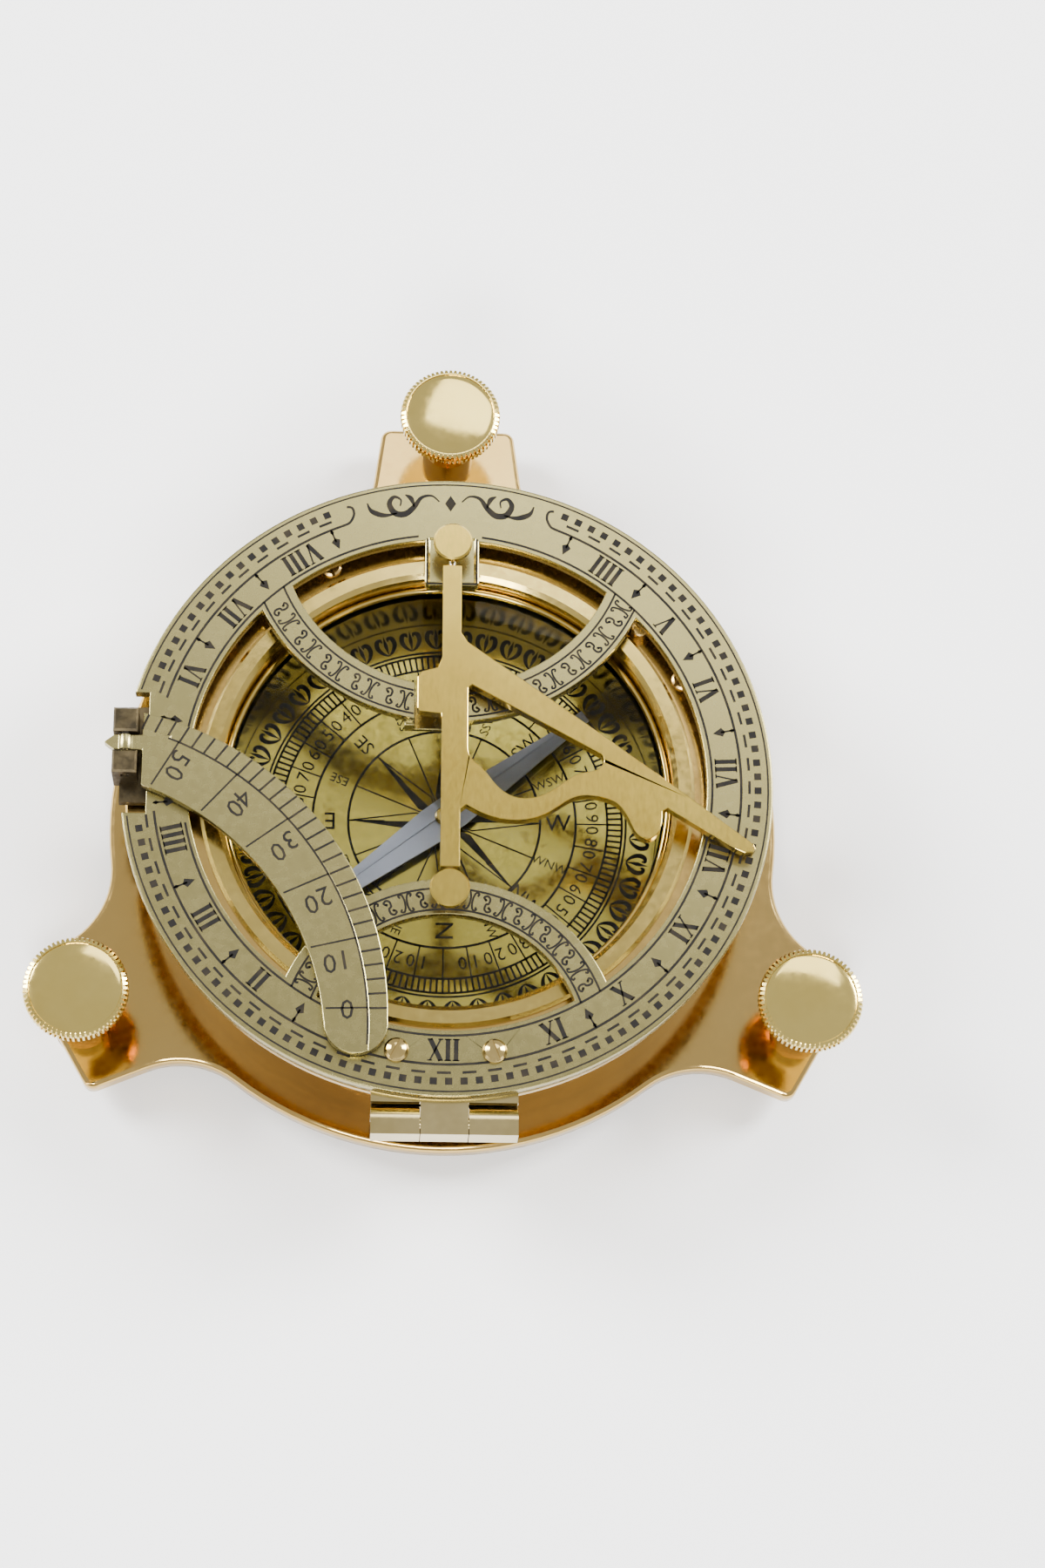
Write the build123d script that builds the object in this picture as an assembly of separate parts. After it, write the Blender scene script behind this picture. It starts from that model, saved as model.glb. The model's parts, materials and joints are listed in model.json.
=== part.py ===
from build123d import *
import math
import os

os.makedirs("parts", exist_ok=True)

# Pocket sundial with compass, brass.  Millimetres, +Z up.
# Pieces are drawn about the bowl axis, with the table at Z = 0 and +Y towards the lug
# opposite the hinge.  Saving moves them so that the origin is on the table under the
# middle of the overall outline.

# ---- driving dimensions ------------------------------------------------------
table_gap = 4.0          # table to the underside of the base plate
plate_t = 3.0            # base plate thickness
body_r = 50.5            # round body of the base plate
lug_l = body_r + 15.5    # centre to the end of a lug
lug_w = 10.3             # half width of a lug at its end
lug_flare = 1.2          # extra half width nine millimetres further in
screw_pitch_r = body_r + 11.0    # centre to each levelling screw
lug_angles = (90, 210, 330)

drum_r = 46.3            # outside of the bowl wall
drum_wall = 1.6
drum_top = 22.6          # height of the top of the wall
cover_r = 47.2           # annular cover plate on the wall
cover_t = 1.4
cover_top = drum_top + cover_t
cover_hole_r = 34.9
pillar_r = 2.5
pillar_pitch_r = 39.2
pillar_angles = (27, 117, 207, 297)

box_r = 34.6             # outside of the compass box
box_low_bore = 32.1
box_top_bore = 33.4
box_floor = table_gap + plate_t + 0.4
box_floor_t = 0.8
box_lip_r = 36.5
dial_t = 0.6
dial_r = 32.0
glass_z = cover_top - 4.8
glass_t = 1.2
glass_r = 33.3

ring_r = 47.7            # hour ring
ring_in_r = 38.0
ring_t = 2.0
ring_top = cover_top + 4.2
ring_low = ring_top - ring_t
hinge_y = -50.6
hinge_z = ring_low - 1.7
hinge_w = 21.0
hinge_mid = 6.8          # width of the middle knuckle
knuckle = 2.2            # half side of a knuckle
pin_r = 0.8
fit = 0.05               # radial running clearance

axis_x = 0.3             # gnomon axis
axis_z = ring_top + 2.0
gnomon_t = 2.0
post_r = 1.7
post_head_r = 2.9
post_ys = (36.0, -17.8)
gpin_r = 0.5

arc_x = -47.0            # latitude arc pivot
arc_z = ring_top + 1.4
arc_t = 1.6

knob_r = 7.65            # levelling screws
knob_t = 3.0
knob_top = 22.8
stem_r = 2.8
collar_r = stem_r + 1.1
collar_h = 4.5
foot_r = stem_r + 1.6
foot_h = 2.3

needle_z = box_floor + box_floor_t + 2.6
needle_half = 27.0
needle_w = 5.6
needle_heading = 37.6

plate_top = table_gap + plate_t
dial_z = box_floor + box_floor_t
outline_mid = (screw_pitch_r + knob_r + hinge_y - knuckle) / 2


# ---- small helpers -----------------------------------------------------------
def at(r, deg, z=0.0):
    a = math.radians(deg)
    return (r * math.cos(a), r * math.sin(a), z)


def rod(r, z0, z1, x=0.0, y=0.0):
    c = Cylinder(r, z1 - z0, align=(Align.CENTER, Align.CENTER, Align.MIN))
    return Pos(x, y, z0) * c


def slab(x0, x1, y0, y1, z0, z1):
    b = Box(x1 - x0, y1 - y0, z1 - z0)
    return Pos((x0 + x1) / 2, (y0 + y1) / 2, (z0 + z1) / 2) * b


def rod_x(r, x0, x1, y, z):
    c = Rot(0, 90, 0) * Cylinder(r, x1 - x0)
    return Pos((x0 + x1) / 2, y, z) * c


def rod_y(r, y0, y1, x, z):
    c = Rot(90, 0, 0) * Cylinder(r, y1 - y0)
    return Pos(x, (y0 + y1) / 2, z) * c


def turned(points):
    """Solid of revolution about Z from (radius, height) points."""
    face = make_face(Plane.XZ * Polyline(*points, close=True))
    return revolve(face, Axis.Z)


def plate(face, z0, z1):
    """Flat piece from a face drawn in XY."""
    return Pos(0, 0, z0) * extrude(face, z1 - z0)


def save(name, shape):
    export_step(Pos(0, -outline_mid, 0) * shape, "parts/" + name + ".step")


# ---- base --------------------------------------------------------------------
def base_outline():
    face = make_face(Circle(body_r).edge())
    for a in lug_angles:
        pts = [
            (0, -lug_w - lug_flare * 2.4),
            (lug_l - 9 * 2.4, -lug_w - lug_flare * 2.4),
            (lug_l, -lug_w),
            (lug_l, lug_w),
            (lug_l - 9 * 2.4, lug_w + lug_flare * 2.4),
            (0, lug_w + lug_flare * 2.4),
        ]
        lug = make_face(Polyline(*pts, close=True))
        face = face + Rot(0, 0, a) * lug
    return face


def make_base_plate():
    body = plate(base_outline(), table_gap, plate_top)
    inner = []
    outer = []
    for e in body.edges().filter_by(Axis.Z):
        c = e.center()
        if math.hypot(c.X, c.Y) > lug_l - 3:
            outer.append(e)
        else:
            inner.append(e)
    body = fillet(inner, 13.0)
    outer = []
    for e in body.edges().filter_by(Axis.Z):
        c = e.center()
        if math.hypot(c.X, c.Y) > lug_l - 3:
            outer.append(e)
    body = fillet(outer, 1.6)
    body = chamfer(body.faces().sort_by(Axis.Z)[-1].edges(), 0.5)
    for a in lug_angles:
        x, y, _ = at(screw_pitch_r, a)
        body = body - rod(collar_r - 0.9, table_gap - 1, plate_top + 1, x, y)
    for a in pillar_angles:
        x, y, _ = at(pillar_pitch_r, a)
        body = body - rod(1.35, table_gap - 1, plate_top + 1, x, y)
        sink = Cone(2.5, 1.35, 1.3, align=(Align.CENTER, Align.CENTER, Align.MIN))
        body = body - Pos(x, y, table_gap - 0.001) * sink
    return body


def make_collar():
    """Bush for one levelling screw: flanged tube pressed into the lug."""
    outer = [
        (stem_r + 0.08, table_gap),
        (collar_r - 0.92, table_gap),
        (collar_r - 0.92, plate_top),
        (collar_r, plate_top),
        (collar_r, plate_top + collar_h - 0.5),
        (collar_r - 0.4, plate_top + collar_h),
        (stem_r + 0.08, plate_top + collar_h),
    ]
    return turned(outer)


def make_lug_collars():
    one = make_collar()
    return Compound([Pos(*at(screw_pitch_r, a)) * one for a in lug_angles])


def make_drum():
    body = rod(drum_r, plate_top, drum_top) - rod(drum_r - drum_wall, plate_top - 1, drum_top + 1)
    return body


def make_pillars():
    one = rod(pillar_r, plate_top, drum_top)
    one = one - rod(0.95, drum_top - 6, drum_top + 1)
    one = one - rod(1.3, plate_top - 1, plate_top + 6)
    return Compound([Pos(*at(pillar_pitch_r, a)) * one for a in pillar_angles])


def make_base_screws():
    pts = [
        (0, table_gap + 0.1),
        (2.2, table_gap + 0.1),
        (1.2, table_gap + 1.25),
        (1.2, plate_top + 5.5),
        (0, plate_top + 5.5),
    ]
    one = turned(pts) - slab(-3, 3, -0.3, 0.3, table_gap, table_gap + 0.6)
    return Compound([Pos(*at(pillar_pitch_r, a)) * one for a in pillar_angles])


def make_cover_plate():
    body = rod(cover_r, drum_top, cover_top) - rod(cover_hole_r, drum_top - 1, cover_top + 1)
    body = chamfer(body.edges().filter_by(GeomType.CIRCLE).group_by(Axis.Z)[-1], 0.3)
    for a in pillar_angles:
        x, y, _ = at(pillar_pitch_r, a)
        body = body - rod(1.0, drum_top - 1, cover_top + 1, x, y)
    for x, y in rest_spots():
        body = body - rod(0.82, drum_top - 1, cover_top + 1, x, y)
    # gap that takes the hinge leaf
    half = hinge_w / 2 + 0.05
    gap = slab(-half, half, -60, -drum_r + 3, drum_top - 1, cover_top + 1)
    return body - (gap - rod(drum_r, 0, 40))


def make_cover_screws():
    top = cover_top + 0.6
    pts = [(0, cover_top - 5), (0.9, cover_top - 5), (0.9, cover_top), (1.6, cover_top)]
    pts = pts + [(1.6, top - 0.2), (1.3, top), (0, top)]
    one = turned(pts) - slab(-2, 2, -0.25, 0.25, top - 0.35, top + 1)
    parts = []
    for k, a in enumerate(pillar_angles):
        parts.append(Pos(*at(pillar_pitch_r, a)) * Rot(0, 0, 40 + 67 * k) * one)
    return Compound(parts)


def rest_spots():
    first = at(38.1, 41.5)
    second = at(40.0, 145)
    return [first[:2], second[:2]]


def make_rest_pins():
    """Short studs that the closed hour ring lies on."""
    parts = []
    for x, y in rest_spots():
        pts = [(0, drum_top), (0.8, drum_top), (0.8, cover_top), (1.2, cover_top)]
        pts = pts + [(1.2, ring_low - 0.35), (1.0, ring_low - 0.15), (0, ring_low - 0.15)]
        parts.append(Pos(x, y, 0) * turned(pts))
    return Compound(parts)


# ---- compass -----------------------------------------------------------------
def make_compass_box():
    top = cover_top
    pts = [
        (0, box_floor),
        (box_r, box_floor),
        (box_r, top),
        (box_lip_r, top),
        (box_lip_r, top + 0.45),
        (box_lip_r - 0.5, top + 0.9),
        (box_top_bore + 0.7, top + 0.9),
        (box_top_bore, top + 0.3),
        (box_top_bore, glass_z),
        (box_low_bore, glass_z),
        (box_low_bore, dial_z),
        (0, dial_z),
    ]
    return turned(pts)


def make_dial_card():
    card = rod(dial_r, dial_z, dial_z + dial_t)
    return card - rod(1.05, dial_z - 1, dial_z + dial_t + 1)


def make_needle_pivot():
    """Brass foot with a fine steel point, riveted through the card."""
    pts = [
        (0, dial_z + 0.05),
        (1.0, dial_z + 0.05),
        (1.0, dial_z + dial_t),
        (1.8, dial_z + dial_t),
        (1.8, dial_z + dial_t + 0.35),
        (0.4, dial_z + dial_t + 0.8),
        (0.4, needle_z + 0.35),
        (0.08, needle_z + 0.95),
        (0, needle_z + 0.95),
    ]
    return turned(pts)


def make_glass():
    return rod(glass_r, glass_z, glass_z + glass_t)


def make_glass_ring():
    """Split spring wire that holds the glass on its ledge."""
    wire = 0.5
    ring = Torus(box_top_bore - wire - 0.02, wire)
    ring = Pos(0, 0, glass_z + glass_t + wire) * ring
    gap = Rot(0, 0, 250) * slab(20, 40, -0.7, 0.7, glass_z, glass_z + 4)
    return ring - gap


def make_needle_blade():
    h = needle_half
    w = needle_w / 2
    tip = 0.7
    pts = [(h, -tip), (h, tip), (2.0, w), (-2.0, w), (-h, tip), (-h, -tip), (-2.0, -w), (2.0, -w)]
    blade = plate(make_face(Polyline(*pts, close=True)), needle_z, needle_z + 0.35)
    ridge = [(-h, 0), (0, 0.35), (h, 0)]
    face = make_face(Plane.XZ * Polyline(*ridge, close=True))
    rib = Pos(0, 0.4, needle_z + 0.35) * extrude(face, 0.8)
    blade = blade + rib
    blade = blade - rod(1.25, needle_z - 1, needle_z + 2)
    return Rot(0, 0, needle_heading) * blade


def make_needle_cap():
    """Brass cup under which the pivot point runs."""
    z = needle_z
    pts = [
        (0.62, z - 0.25),
        (1.7, z - 0.25),
        (1.7, z - 0.02),
        (1.22, z - 0.02),
        (1.22, z + 0.75),
        (1.5, z + 0.75),
        (1.2, z + 1.35),
        (0, z + 1.6),
        (0, z + 1.0),
        (0.62, z + 0.55),
    ]
    return turned(pts)


# ---- hinge between bowl and hour ring ----------------------------------------
def knuckle_face(sharp):
    """Square knuckle in the YZ plane with chosen corners left sharp."""
    k = knuckle
    face = make_face(Circle(k).edge())
    for sy, sz in sharp:
        quarter = Pos(sy * k / 2, sz * k / 2) * Rectangle(k, k)
        face = face + quarter
    return face


def knuckle_bar(sharp, x0, x1):
    face = Plane(origin=(x0, hinge_y, hinge_z), x_dir=(0, 1, 0), z_dir=(1, 0, 0)) * knuckle_face(sharp)
    return extrude(face, x1 - x0, dir=(1, 0, 0))


def make_hinge_leaf_bowl():
    half = hinge_w / 2
    gap = hinge_mid / 2 + 0.12
    leaf = slab(-half, half, -48.1, -44.0, cover_top - 9.5, cover_top - 0.2)
    leaf = leaf - rod(drum_r, 0, 40)
    body = leaf
    for x0, x1 in ((-half, -gap), (gap, half)):
        body = body + knuckle_bar([(-1, -1), (1, -1), (-1, 1)], x0, x1)
        body = body + slab(x0, x1, hinge_y + knuckle - 0.2, -47.0, hinge_z - knuckle, cover_top - 0.2)
    body = body - rod_x(pin_r + 0.01, -half - 1, half + 1, hinge_y, hinge_z)
    body = body - rod(drum_r, 0, 40)
    return body


def make_hinge_leaf_ring():
    half = hinge_w / 2
    mid = hinge_mid / 2
    low = ring_low - 1.3
    body = slab(-half, half, -48.0, -37.7, low, ring_low)
    body = body + knuckle_bar([(-1, -1), (-1, 1), (1, 1)], -mid, mid)
    body = body + slab(-mid, mid, hinge_y + 1.0, -47.5, low, ring_low)
    body = body - rod_x(pin_r + fit, -half - 1, half + 1, hinge_y, hinge_z)
    for x in (-7.0, 7.0):
        body = body - rod(1.05, low - 1, ring_low + 1, x, -41.0)
    return body


def make_hinge_pin():
    half = hinge_w / 2
    pin = rod_x(pin_r, -half + 0.1, half - 0.1, hinge_y, hinge_z)
    return chamfer(pin.edges().filter_by(GeomType.CIRCLE), 0.15)


def make_leaf_screws():
    low = ring_low - 1.5
    pts = [(0, low), (1.0, low), (1.0, ring_top), (1.8, ring_top), (1.75, ring_top + 0.5)]
    pts = pts + [(1.4, ring_top + 0.95), (0.8, ring_top + 1.2), (0, ring_top + 1.3)]
    one = turned(pts) - slab(-3, 3, -0.28, 0.28, ring_top + 0.65, ring_top + 3)
    left = Pos(-7.0, -41.0, 0) * Rot(0, 0, 62) * one
    right = Pos(7.0, -41.0, 0) * Rot(0, 0, 112) * one
    return Compound([left, right])


# ---- hour ring ---------------------------------------------------------------
def crescent(cy, r_in, r_out):
    big = Pos(0, cy) * Circle(r_out)
    small = Pos(0, cy) * Circle(r_in)
    return (big - small) & Circle(ring_in_r + 0.6)


def ring_face():
    face = Circle(ring_r) - Circle(ring_in_r)
    face = face + crescent(40.0, 25.4, 31.0)
    face = face + crescent(-40.4, 19.8, 25.1)
    tab = Pos(axis_x, 34.7) * RectangleRounded(8.0, 8.2, 0.7)
    face = face + tab
    # notch for the bracket of the latitude arc
    notch = Pos(-47.8, 3.3) * Rectangle(8.0, 18.6)
    return face - notch


def make_hour_ring():
    body = plate(ring_face(), ring_low, ring_top)
    rim = []
    for e in body.edges().filter_by(GeomType.CIRCLE):
        if e.center().Z > ring_top - 0.01 and abs(e.radius - ring_r) < 0.01:
            rim.append(e)
    body = chamfer(rim, 0.15)
    # sunk centre of the upper tab
    body = body - slab(axis_x - 3.4, axis_x + 3.4, 31.2, 38.2, ring_top - 0.4, ring_top + 1)
    # saddle under the upper crescent and the gap for the gnomon stop
    saddle = slab(-6.4, 3.4, 9.05, 14.4, ring_low - 2.6, ring_low + 0.01)
    body = body + saddle
    body = body - slab(-5.0, 2.0, 5, 18, ring_low - 1.7, ring_top + 1)
    for y in post_ys:
        body = body - rod(post_r - 0.5, ring_low - 1, ring_top + 1, axis_x, y)
    for x in (-7.0, 7.0):
        body = body - rod(1.05, ring_low - 1, ring_top + 1, x, -41.0)
    return body


def make_gnomon_posts():
    """Two headed posts, riveted to the ring, that carry the gnomon."""
    parts = []
    for y, seat in zip(post_ys, (ring_top - 0.4, ring_top)):
        pts = [
            (0, ring_low + 0.05),
            (post_r - 0.52, ring_low + 0.05),
            (post_r - 0.52, seat),
            (post_r, seat),
            (post_r, axis_z + 1.25),
            (post_head_r, axis_z + 1.25),
            (post_head_r, axis_z + 2.0),
            (post_head_r - 0.25, axis_z + 2.25),
            (0, axis_z + 2.25),
        ]
        post = Pos(axis_x, y, 0) * turned(pts)
        parts.append(post - rod_y(gpin_r + 0.01, y - 3, y + 3, axis_x, axis_z))
    return Compound(parts)


def make_gnomon_pins():
    upper = rod_y(gpin_r, 29.6, post_ys[0] + post_r - 0.1, axis_x, axis_z)
    lower = rod_y(gpin_r, post_ys[1] - post_r + 0.1, -11.2, axis_x, axis_z)
    return Compound([upper, lower])


# ---- gnomon ------------------------------------------------------------------
def gnomon_outline():
    x = axis_x
    pts = [
        (x - 1.4, 32.7),
        (x + 1.4, 32.7),
        (x + 1.4, 21.9),
        (2.6, 20.5),
        (3.9, 19.6),
        (22.7, 6.1),
        (35.3, -3.3),
        (44.3, -10.2),
        (44.6, -10.9),
        (44.2, -11.4),
        (43.0, -11.5),
        (41.6, -10.9),
        (31.9, -4.9),
        (31.1, -5.4),
    ]
    left = [
        (2.6, -4.9),
        (x + 1.4, -5.7),
        (x + 1.4, -14.4),
        (x - 1.4, -14.4),
        (x - 1.4, 8.2),
        (x - 1.5, 9.1),
        (-4.3, 9.4),
        (-4.7, 10.0),
        (-4.7, 14.8),
        (-4.1, 15.7),
        (-1.7, 16.4),
        (-1.1, 18.0),
        (x - 1.4, 21.0),
    ]
    return pts, left


def gnomon_face():
    pts, left = gnomon_outline()
    hook = [(31.1, -5.4), (30.9, -7.6), (30.0, -9.2), (28.7, -9.7), (27.3, -8.9), (26.6, -7.6)]
    hook = hook + [(25.6, -5.7), (24.4, -4.3), (23.2, -3.7), (21.6, -3.3), (20.1, -3.2)]
    wave = [(20.1, -3.2), (17.5, -3.9), (15.0, -5.6), (12.0, -6.9), (8.7, -7.1), (5.3, -6.3), (2.6, -4.9)]
    edges = Polyline(*left, pts[0]).edges() + Polyline(*pts).edges()
    edges = edges + Spline(*hook).edges() + Spline(*wave).edges()
    return make_face(edges)


def gnomon_window():
    straight = Polyline((2.8, 3.9), (2.8, 13.2), (3.3, 13.7), (22.2, 3.2))
    curl = Spline(
        (22.2, 3.2), (22.6, 2.2), (21.9, 1.1), (19.2, 0.3), (16.7, -1.2), (13.3, -3.3),
        (9.9, -3.6), (7.0, -1.8), (4.7, 1.0), (3.4, 2.2), (2.8, 3.9),
    )
    return make_face(straight.edges() + curl.edges())


def make_gnomon():
    half = gnomon_t / 2
    body = plate(gnomon_face(), axis_z - half, axis_z + half)
    body = body - plate(gnomon_window(), axis_z - 3, axis_z + 3)
    body = body - rod_y(gpin_r + 0.03, 28.9, 34, axis_x, axis_z)
    body = body - rod_y(gpin_r + 0.03, -16, -10.5, axis_x, axis_z)
    return body


# ---- latitude arc ------------------------------------------------------------
def arc_face():
    outer = Pos(-54.62, -36.39) * Circle(46.35)
    inner = Pos(-58.88, -41.45) * Circle(41.64)
    band = outer - inner
    # keep the quarter between the tongue and the free end
    keep = make_face(Polyline((-44.5, -3.0), (-44.5, 14), (-20, 20), (0, 0), (-4, -37.5),
                              (-22, -37.5), (-44.5, -8), close=True))
    band = band & keep
    return band + Pos(-12.8, -37.5) * Circle(4.58)


def make_latitude_arc():
    low = arc_z - arc_t / 2 - 0.15
    top = low + arc_t
    body = plate(arc_face(), low, top)
    # thin graduated border along the outer edge
    rim = Pos(-57.4, -38.38) * (Circle(60) - Circle(46.41))
    body = body - plate(rim, top - 0.35, top + 2)
    tongue = make_face(Polyline((-50.1, 4.1), (-48.6, 5.25), (-40.5, 5.25), (-40.5, 2.95), (-48.6, 2.95),
                                close=True))
    body = body + plate(tongue, low, top)
    body = body + rod_y(1.15, 2.95, 5.25, arc_x, arc_z)
    body = body - rod_y(0.6 + 0.04, 0, 9, arc_x, arc_z)
    return body


def make_arc_bracket():
    """Foot soldered under the ring with two upright ears in the notch."""
    low = ring_low - 1.3
    body = slab(-47.9, -40.3, -3.8, 11.0, low, ring_low)
    body = body & rod(ring_r + 0.4, low - 1, ring_top + 9)
    for y0, y1 in ((-0.8, 2.65), (5.55, 9.2)):
        ear = slab(-48.8, -45.2, y0, y1, low, ring_top + 3.0)
        ear = chamfer(ear.faces().sort_by(Axis.Z)[-1].edges(), 0.3)
        body = body + ear
    body = body - rod_y(0.6 + 0.01, -2, 12, arc_x, arc_z)
    return body


def make_arc_pin():
    return rod_y(0.6, -0.6, 9.0, arc_x, arc_z)


# ---- levelling screws --------------------------------------------------------
def make_level_screw():
    low = knob_top - knob_t
    pts = [
        (0, 0.7),
        (1.6, 0.7),
        (1.6, foot_h + 0.15),
        (stem_r, foot_h + 0.6),
        (stem_r, low),
        (knob_r - 0.5, low),
        (knob_r, low + 0.4),
        (knob_r, knob_top - 0.5),
        (knob_r - 0.45, knob_top - 0.1),
        (knob_r - 1.2, knob_top),
        (0, knob_top),
    ]
    return turned(pts)


def make_foot():
    """Swivel pad on the lower end of a levelling screw."""
    pts = [
        (0, 0),
        (foot_r - 0.4, 0),
        (foot_r, 0.4),
        (foot_r, 1.3),
        (foot_r - 1.2, foot_h),
        (1.65, foot_h),
        (1.65, 0.6),
        (0, 0.6),
    ]
    return turned(pts)


# ---- build every piece -------------------------------------------------------
save("base_plate", make_base_plate())
save("lug_collars", make_lug_collars())
save("drum", make_drum())
save("pillars", make_pillars())
save("base_screws", make_base_screws())
save("cover_plate", make_cover_plate())
save("cover_screws", make_cover_screws())
save("rest_pins", make_rest_pins())
save("compass_box", make_compass_box())
save("dial_card", make_dial_card())
save("needle_pivot", make_needle_pivot())
save("glass", make_glass())
save("glass_ring", make_glass_ring())
save("needle_blade", make_needle_blade())
save("needle_cap", make_needle_cap())
save("hinge_leaf_bowl", make_hinge_leaf_bowl())
save("hinge_pin", make_hinge_pin())
save("hinge_leaf_ring", make_hinge_leaf_ring())
save("leaf_screws", make_leaf_screws())
save("hour_ring", make_hour_ring())
save("gnomon_posts", make_gnomon_posts())
save("gnomon_pins", make_gnomon_pins())
save("gnomon", make_gnomon())
save("latitude_arc", make_latitude_arc())
save("arc_bracket", make_arc_bracket())
save("arc_pin", make_arc_pin())
for name, angle in zip(("back", "left", "right"), lug_angles):
    spot = Pos(*at(screw_pitch_r, angle))
    save("level_screw_" + name, spot * make_level_screw())
    save("foot_" + name, spot * make_foot())
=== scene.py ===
import json
import math

import bmesh
import bpy
from mathutils import Matrix, Vector

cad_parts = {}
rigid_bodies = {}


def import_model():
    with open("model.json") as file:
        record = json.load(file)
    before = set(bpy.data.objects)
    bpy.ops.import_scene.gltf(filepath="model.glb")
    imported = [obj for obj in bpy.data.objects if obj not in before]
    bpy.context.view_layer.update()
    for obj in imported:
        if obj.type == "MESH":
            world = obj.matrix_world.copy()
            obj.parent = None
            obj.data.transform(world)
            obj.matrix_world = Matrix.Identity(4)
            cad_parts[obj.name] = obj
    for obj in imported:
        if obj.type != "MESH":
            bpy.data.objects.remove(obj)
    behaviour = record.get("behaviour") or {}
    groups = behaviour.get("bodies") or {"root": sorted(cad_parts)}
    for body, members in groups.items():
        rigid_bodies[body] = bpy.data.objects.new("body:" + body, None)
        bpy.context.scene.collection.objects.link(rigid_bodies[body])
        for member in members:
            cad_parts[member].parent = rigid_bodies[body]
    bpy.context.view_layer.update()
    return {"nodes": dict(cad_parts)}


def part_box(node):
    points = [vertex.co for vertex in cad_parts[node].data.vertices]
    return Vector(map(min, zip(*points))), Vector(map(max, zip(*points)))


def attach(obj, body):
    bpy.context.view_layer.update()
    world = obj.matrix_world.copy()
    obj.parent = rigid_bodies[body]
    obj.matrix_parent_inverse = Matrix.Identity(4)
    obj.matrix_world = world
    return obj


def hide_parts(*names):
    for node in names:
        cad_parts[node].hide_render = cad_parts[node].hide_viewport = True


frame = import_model()

MM = 0.001
nodes = frame["nodes"]

# ---- Table, light and camera --------------------------------------------------
# The instrument stands on a plain white table top in even pale light, with four
# soft boxes: one high behind it, one at each side and one in front.


def plain_shader(name):
    """A new material, its node tree and its Principled shader."""
    material = bpy.data.materials.new(name)
    material.use_nodes = True
    tree = material.node_tree
    return material, tree, tree.nodes["Principled BSDF"]


def table_top():
    """Plain white square, far wider than the instrument."""
    half = 1.6
    mesh = bpy.data.meshes.new("table_top")
    corners = [(-half, -half, 0), (half, -half, 0), (half, half, 0), (-half, half, 0)]
    mesh.from_pydata(corners, [], [(0, 1, 2, 3)])
    top = bpy.data.objects.new("table_top", mesh)
    bpy.context.scene.collection.objects.link(top)
    material, _, shader = plain_shader("white_table")
    shader.inputs["Base Color"].default_value = (0.93, 0.93, 0.93, 1)
    shader.inputs["Roughness"].default_value = 0.75
    mesh.materials.append(material)


def soft_box(name, place, width, height, watts):
    """Rectangular light, its size in metres, aimed at the origin."""
    light = bpy.data.lights.new(name, "AREA")
    light.shape = "RECTANGLE"
    light.size = width
    light.size_y = height
    light.energy = watts
    lamp = bpy.data.objects.new(name, light)
    lamp.location = place
    lamp.rotation_euler = (-Vector(place)).to_track_quat("-Z", "Y").to_euler()
    bpy.context.scene.collection.objects.link(lamp)


def studio_air(strength):
    """Even, slightly warm light from all round."""
    world = bpy.data.worlds.new("studio")
    world.use_nodes = True
    back = world.node_tree.nodes["Background"]
    back.inputs["Color"].default_value = (1.0, 0.99, 0.97, 1)
    back.inputs["Strength"].default_value = strength
    bpy.context.scene.world = world


def set_camera():
    """Long lens about 70 degrees above the table, a little left of the front."""
    turn, height, roll = math.radians(-7.92), math.radians(70.26), math.radians(8.52)
    distance = 0.541
    target = Vector((0.01193, -0.00118, 0.007))
    back = Vector((math.sin(turn) * math.cos(height), -math.cos(turn) * math.cos(height),
                   math.sin(height)))
    right = (-back).cross(Vector((0, 0, 1))).normalized()
    up = right.cross(-back)
    across = right * math.cos(roll) + up * math.sin(roll)
    upward = up * math.cos(roll) - right * math.sin(roll)
    lens = bpy.data.cameras.new("camera")
    lens.sensor_fit = "VERTICAL"
    lens.sensor_height = 36.0
    lens.lens = 81.49
    lens.clip_start = 0.01
    camera = bpy.data.objects.new("camera", lens)
    turned = Matrix((across, upward, back)).transposed().to_4x4()
    turned.translation = target + back * distance
    camera.matrix_world = turned
    bpy.context.scene.collection.objects.link(camera)
    bpy.context.scene.camera = camera


table_top()
studio_air(0.85)
soft_box("box_above", (0.14, 0.44, 0.72), 0.4, 0.3, 1.6)
soft_box("box_left", (-0.70, 0.34, 0.55), 0.35, 0.4, 22.0)
soft_box("box_right", (0.70, 0.34, 0.55), 0.3, 0.4, 20.0)
soft_box("box_front", (-0.1, -0.72, 0.62), 0.45, 0.22, 14.0)
set_camera()

# ---- Base plate and lug bushes ------------------------------------------------
# Cast and turned brass plate with three lugs, its top face polished but worn a
# little hazy, with a plain bush pressed into each lug for a levelling screw.


def noise(tree, place, scale, detail=2.0):
    """Noise texture in the coordinates that a socket gives."""
    texture = tree.nodes.new("ShaderNodeTexNoise")
    texture.inputs["Scale"].default_value = scale
    texture.inputs["Detail"].default_value = detail
    tree.links.new(place, texture.inputs["Vector"])
    return texture


def spread(tree, value, given, wanted=(0.0, 1.0)):
    """Carries a value from one range to another and gives the socket of the result."""
    change = tree.nodes.new("ShaderNodeMapRange")
    for name, number in zip(("From Min", "From Max", "To Min", "To Max"), (*given, *wanted)):
        change.inputs[name].default_value = number
    tree.links.new(value, change.inputs["Value"])
    return change.outputs["Result"]


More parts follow.
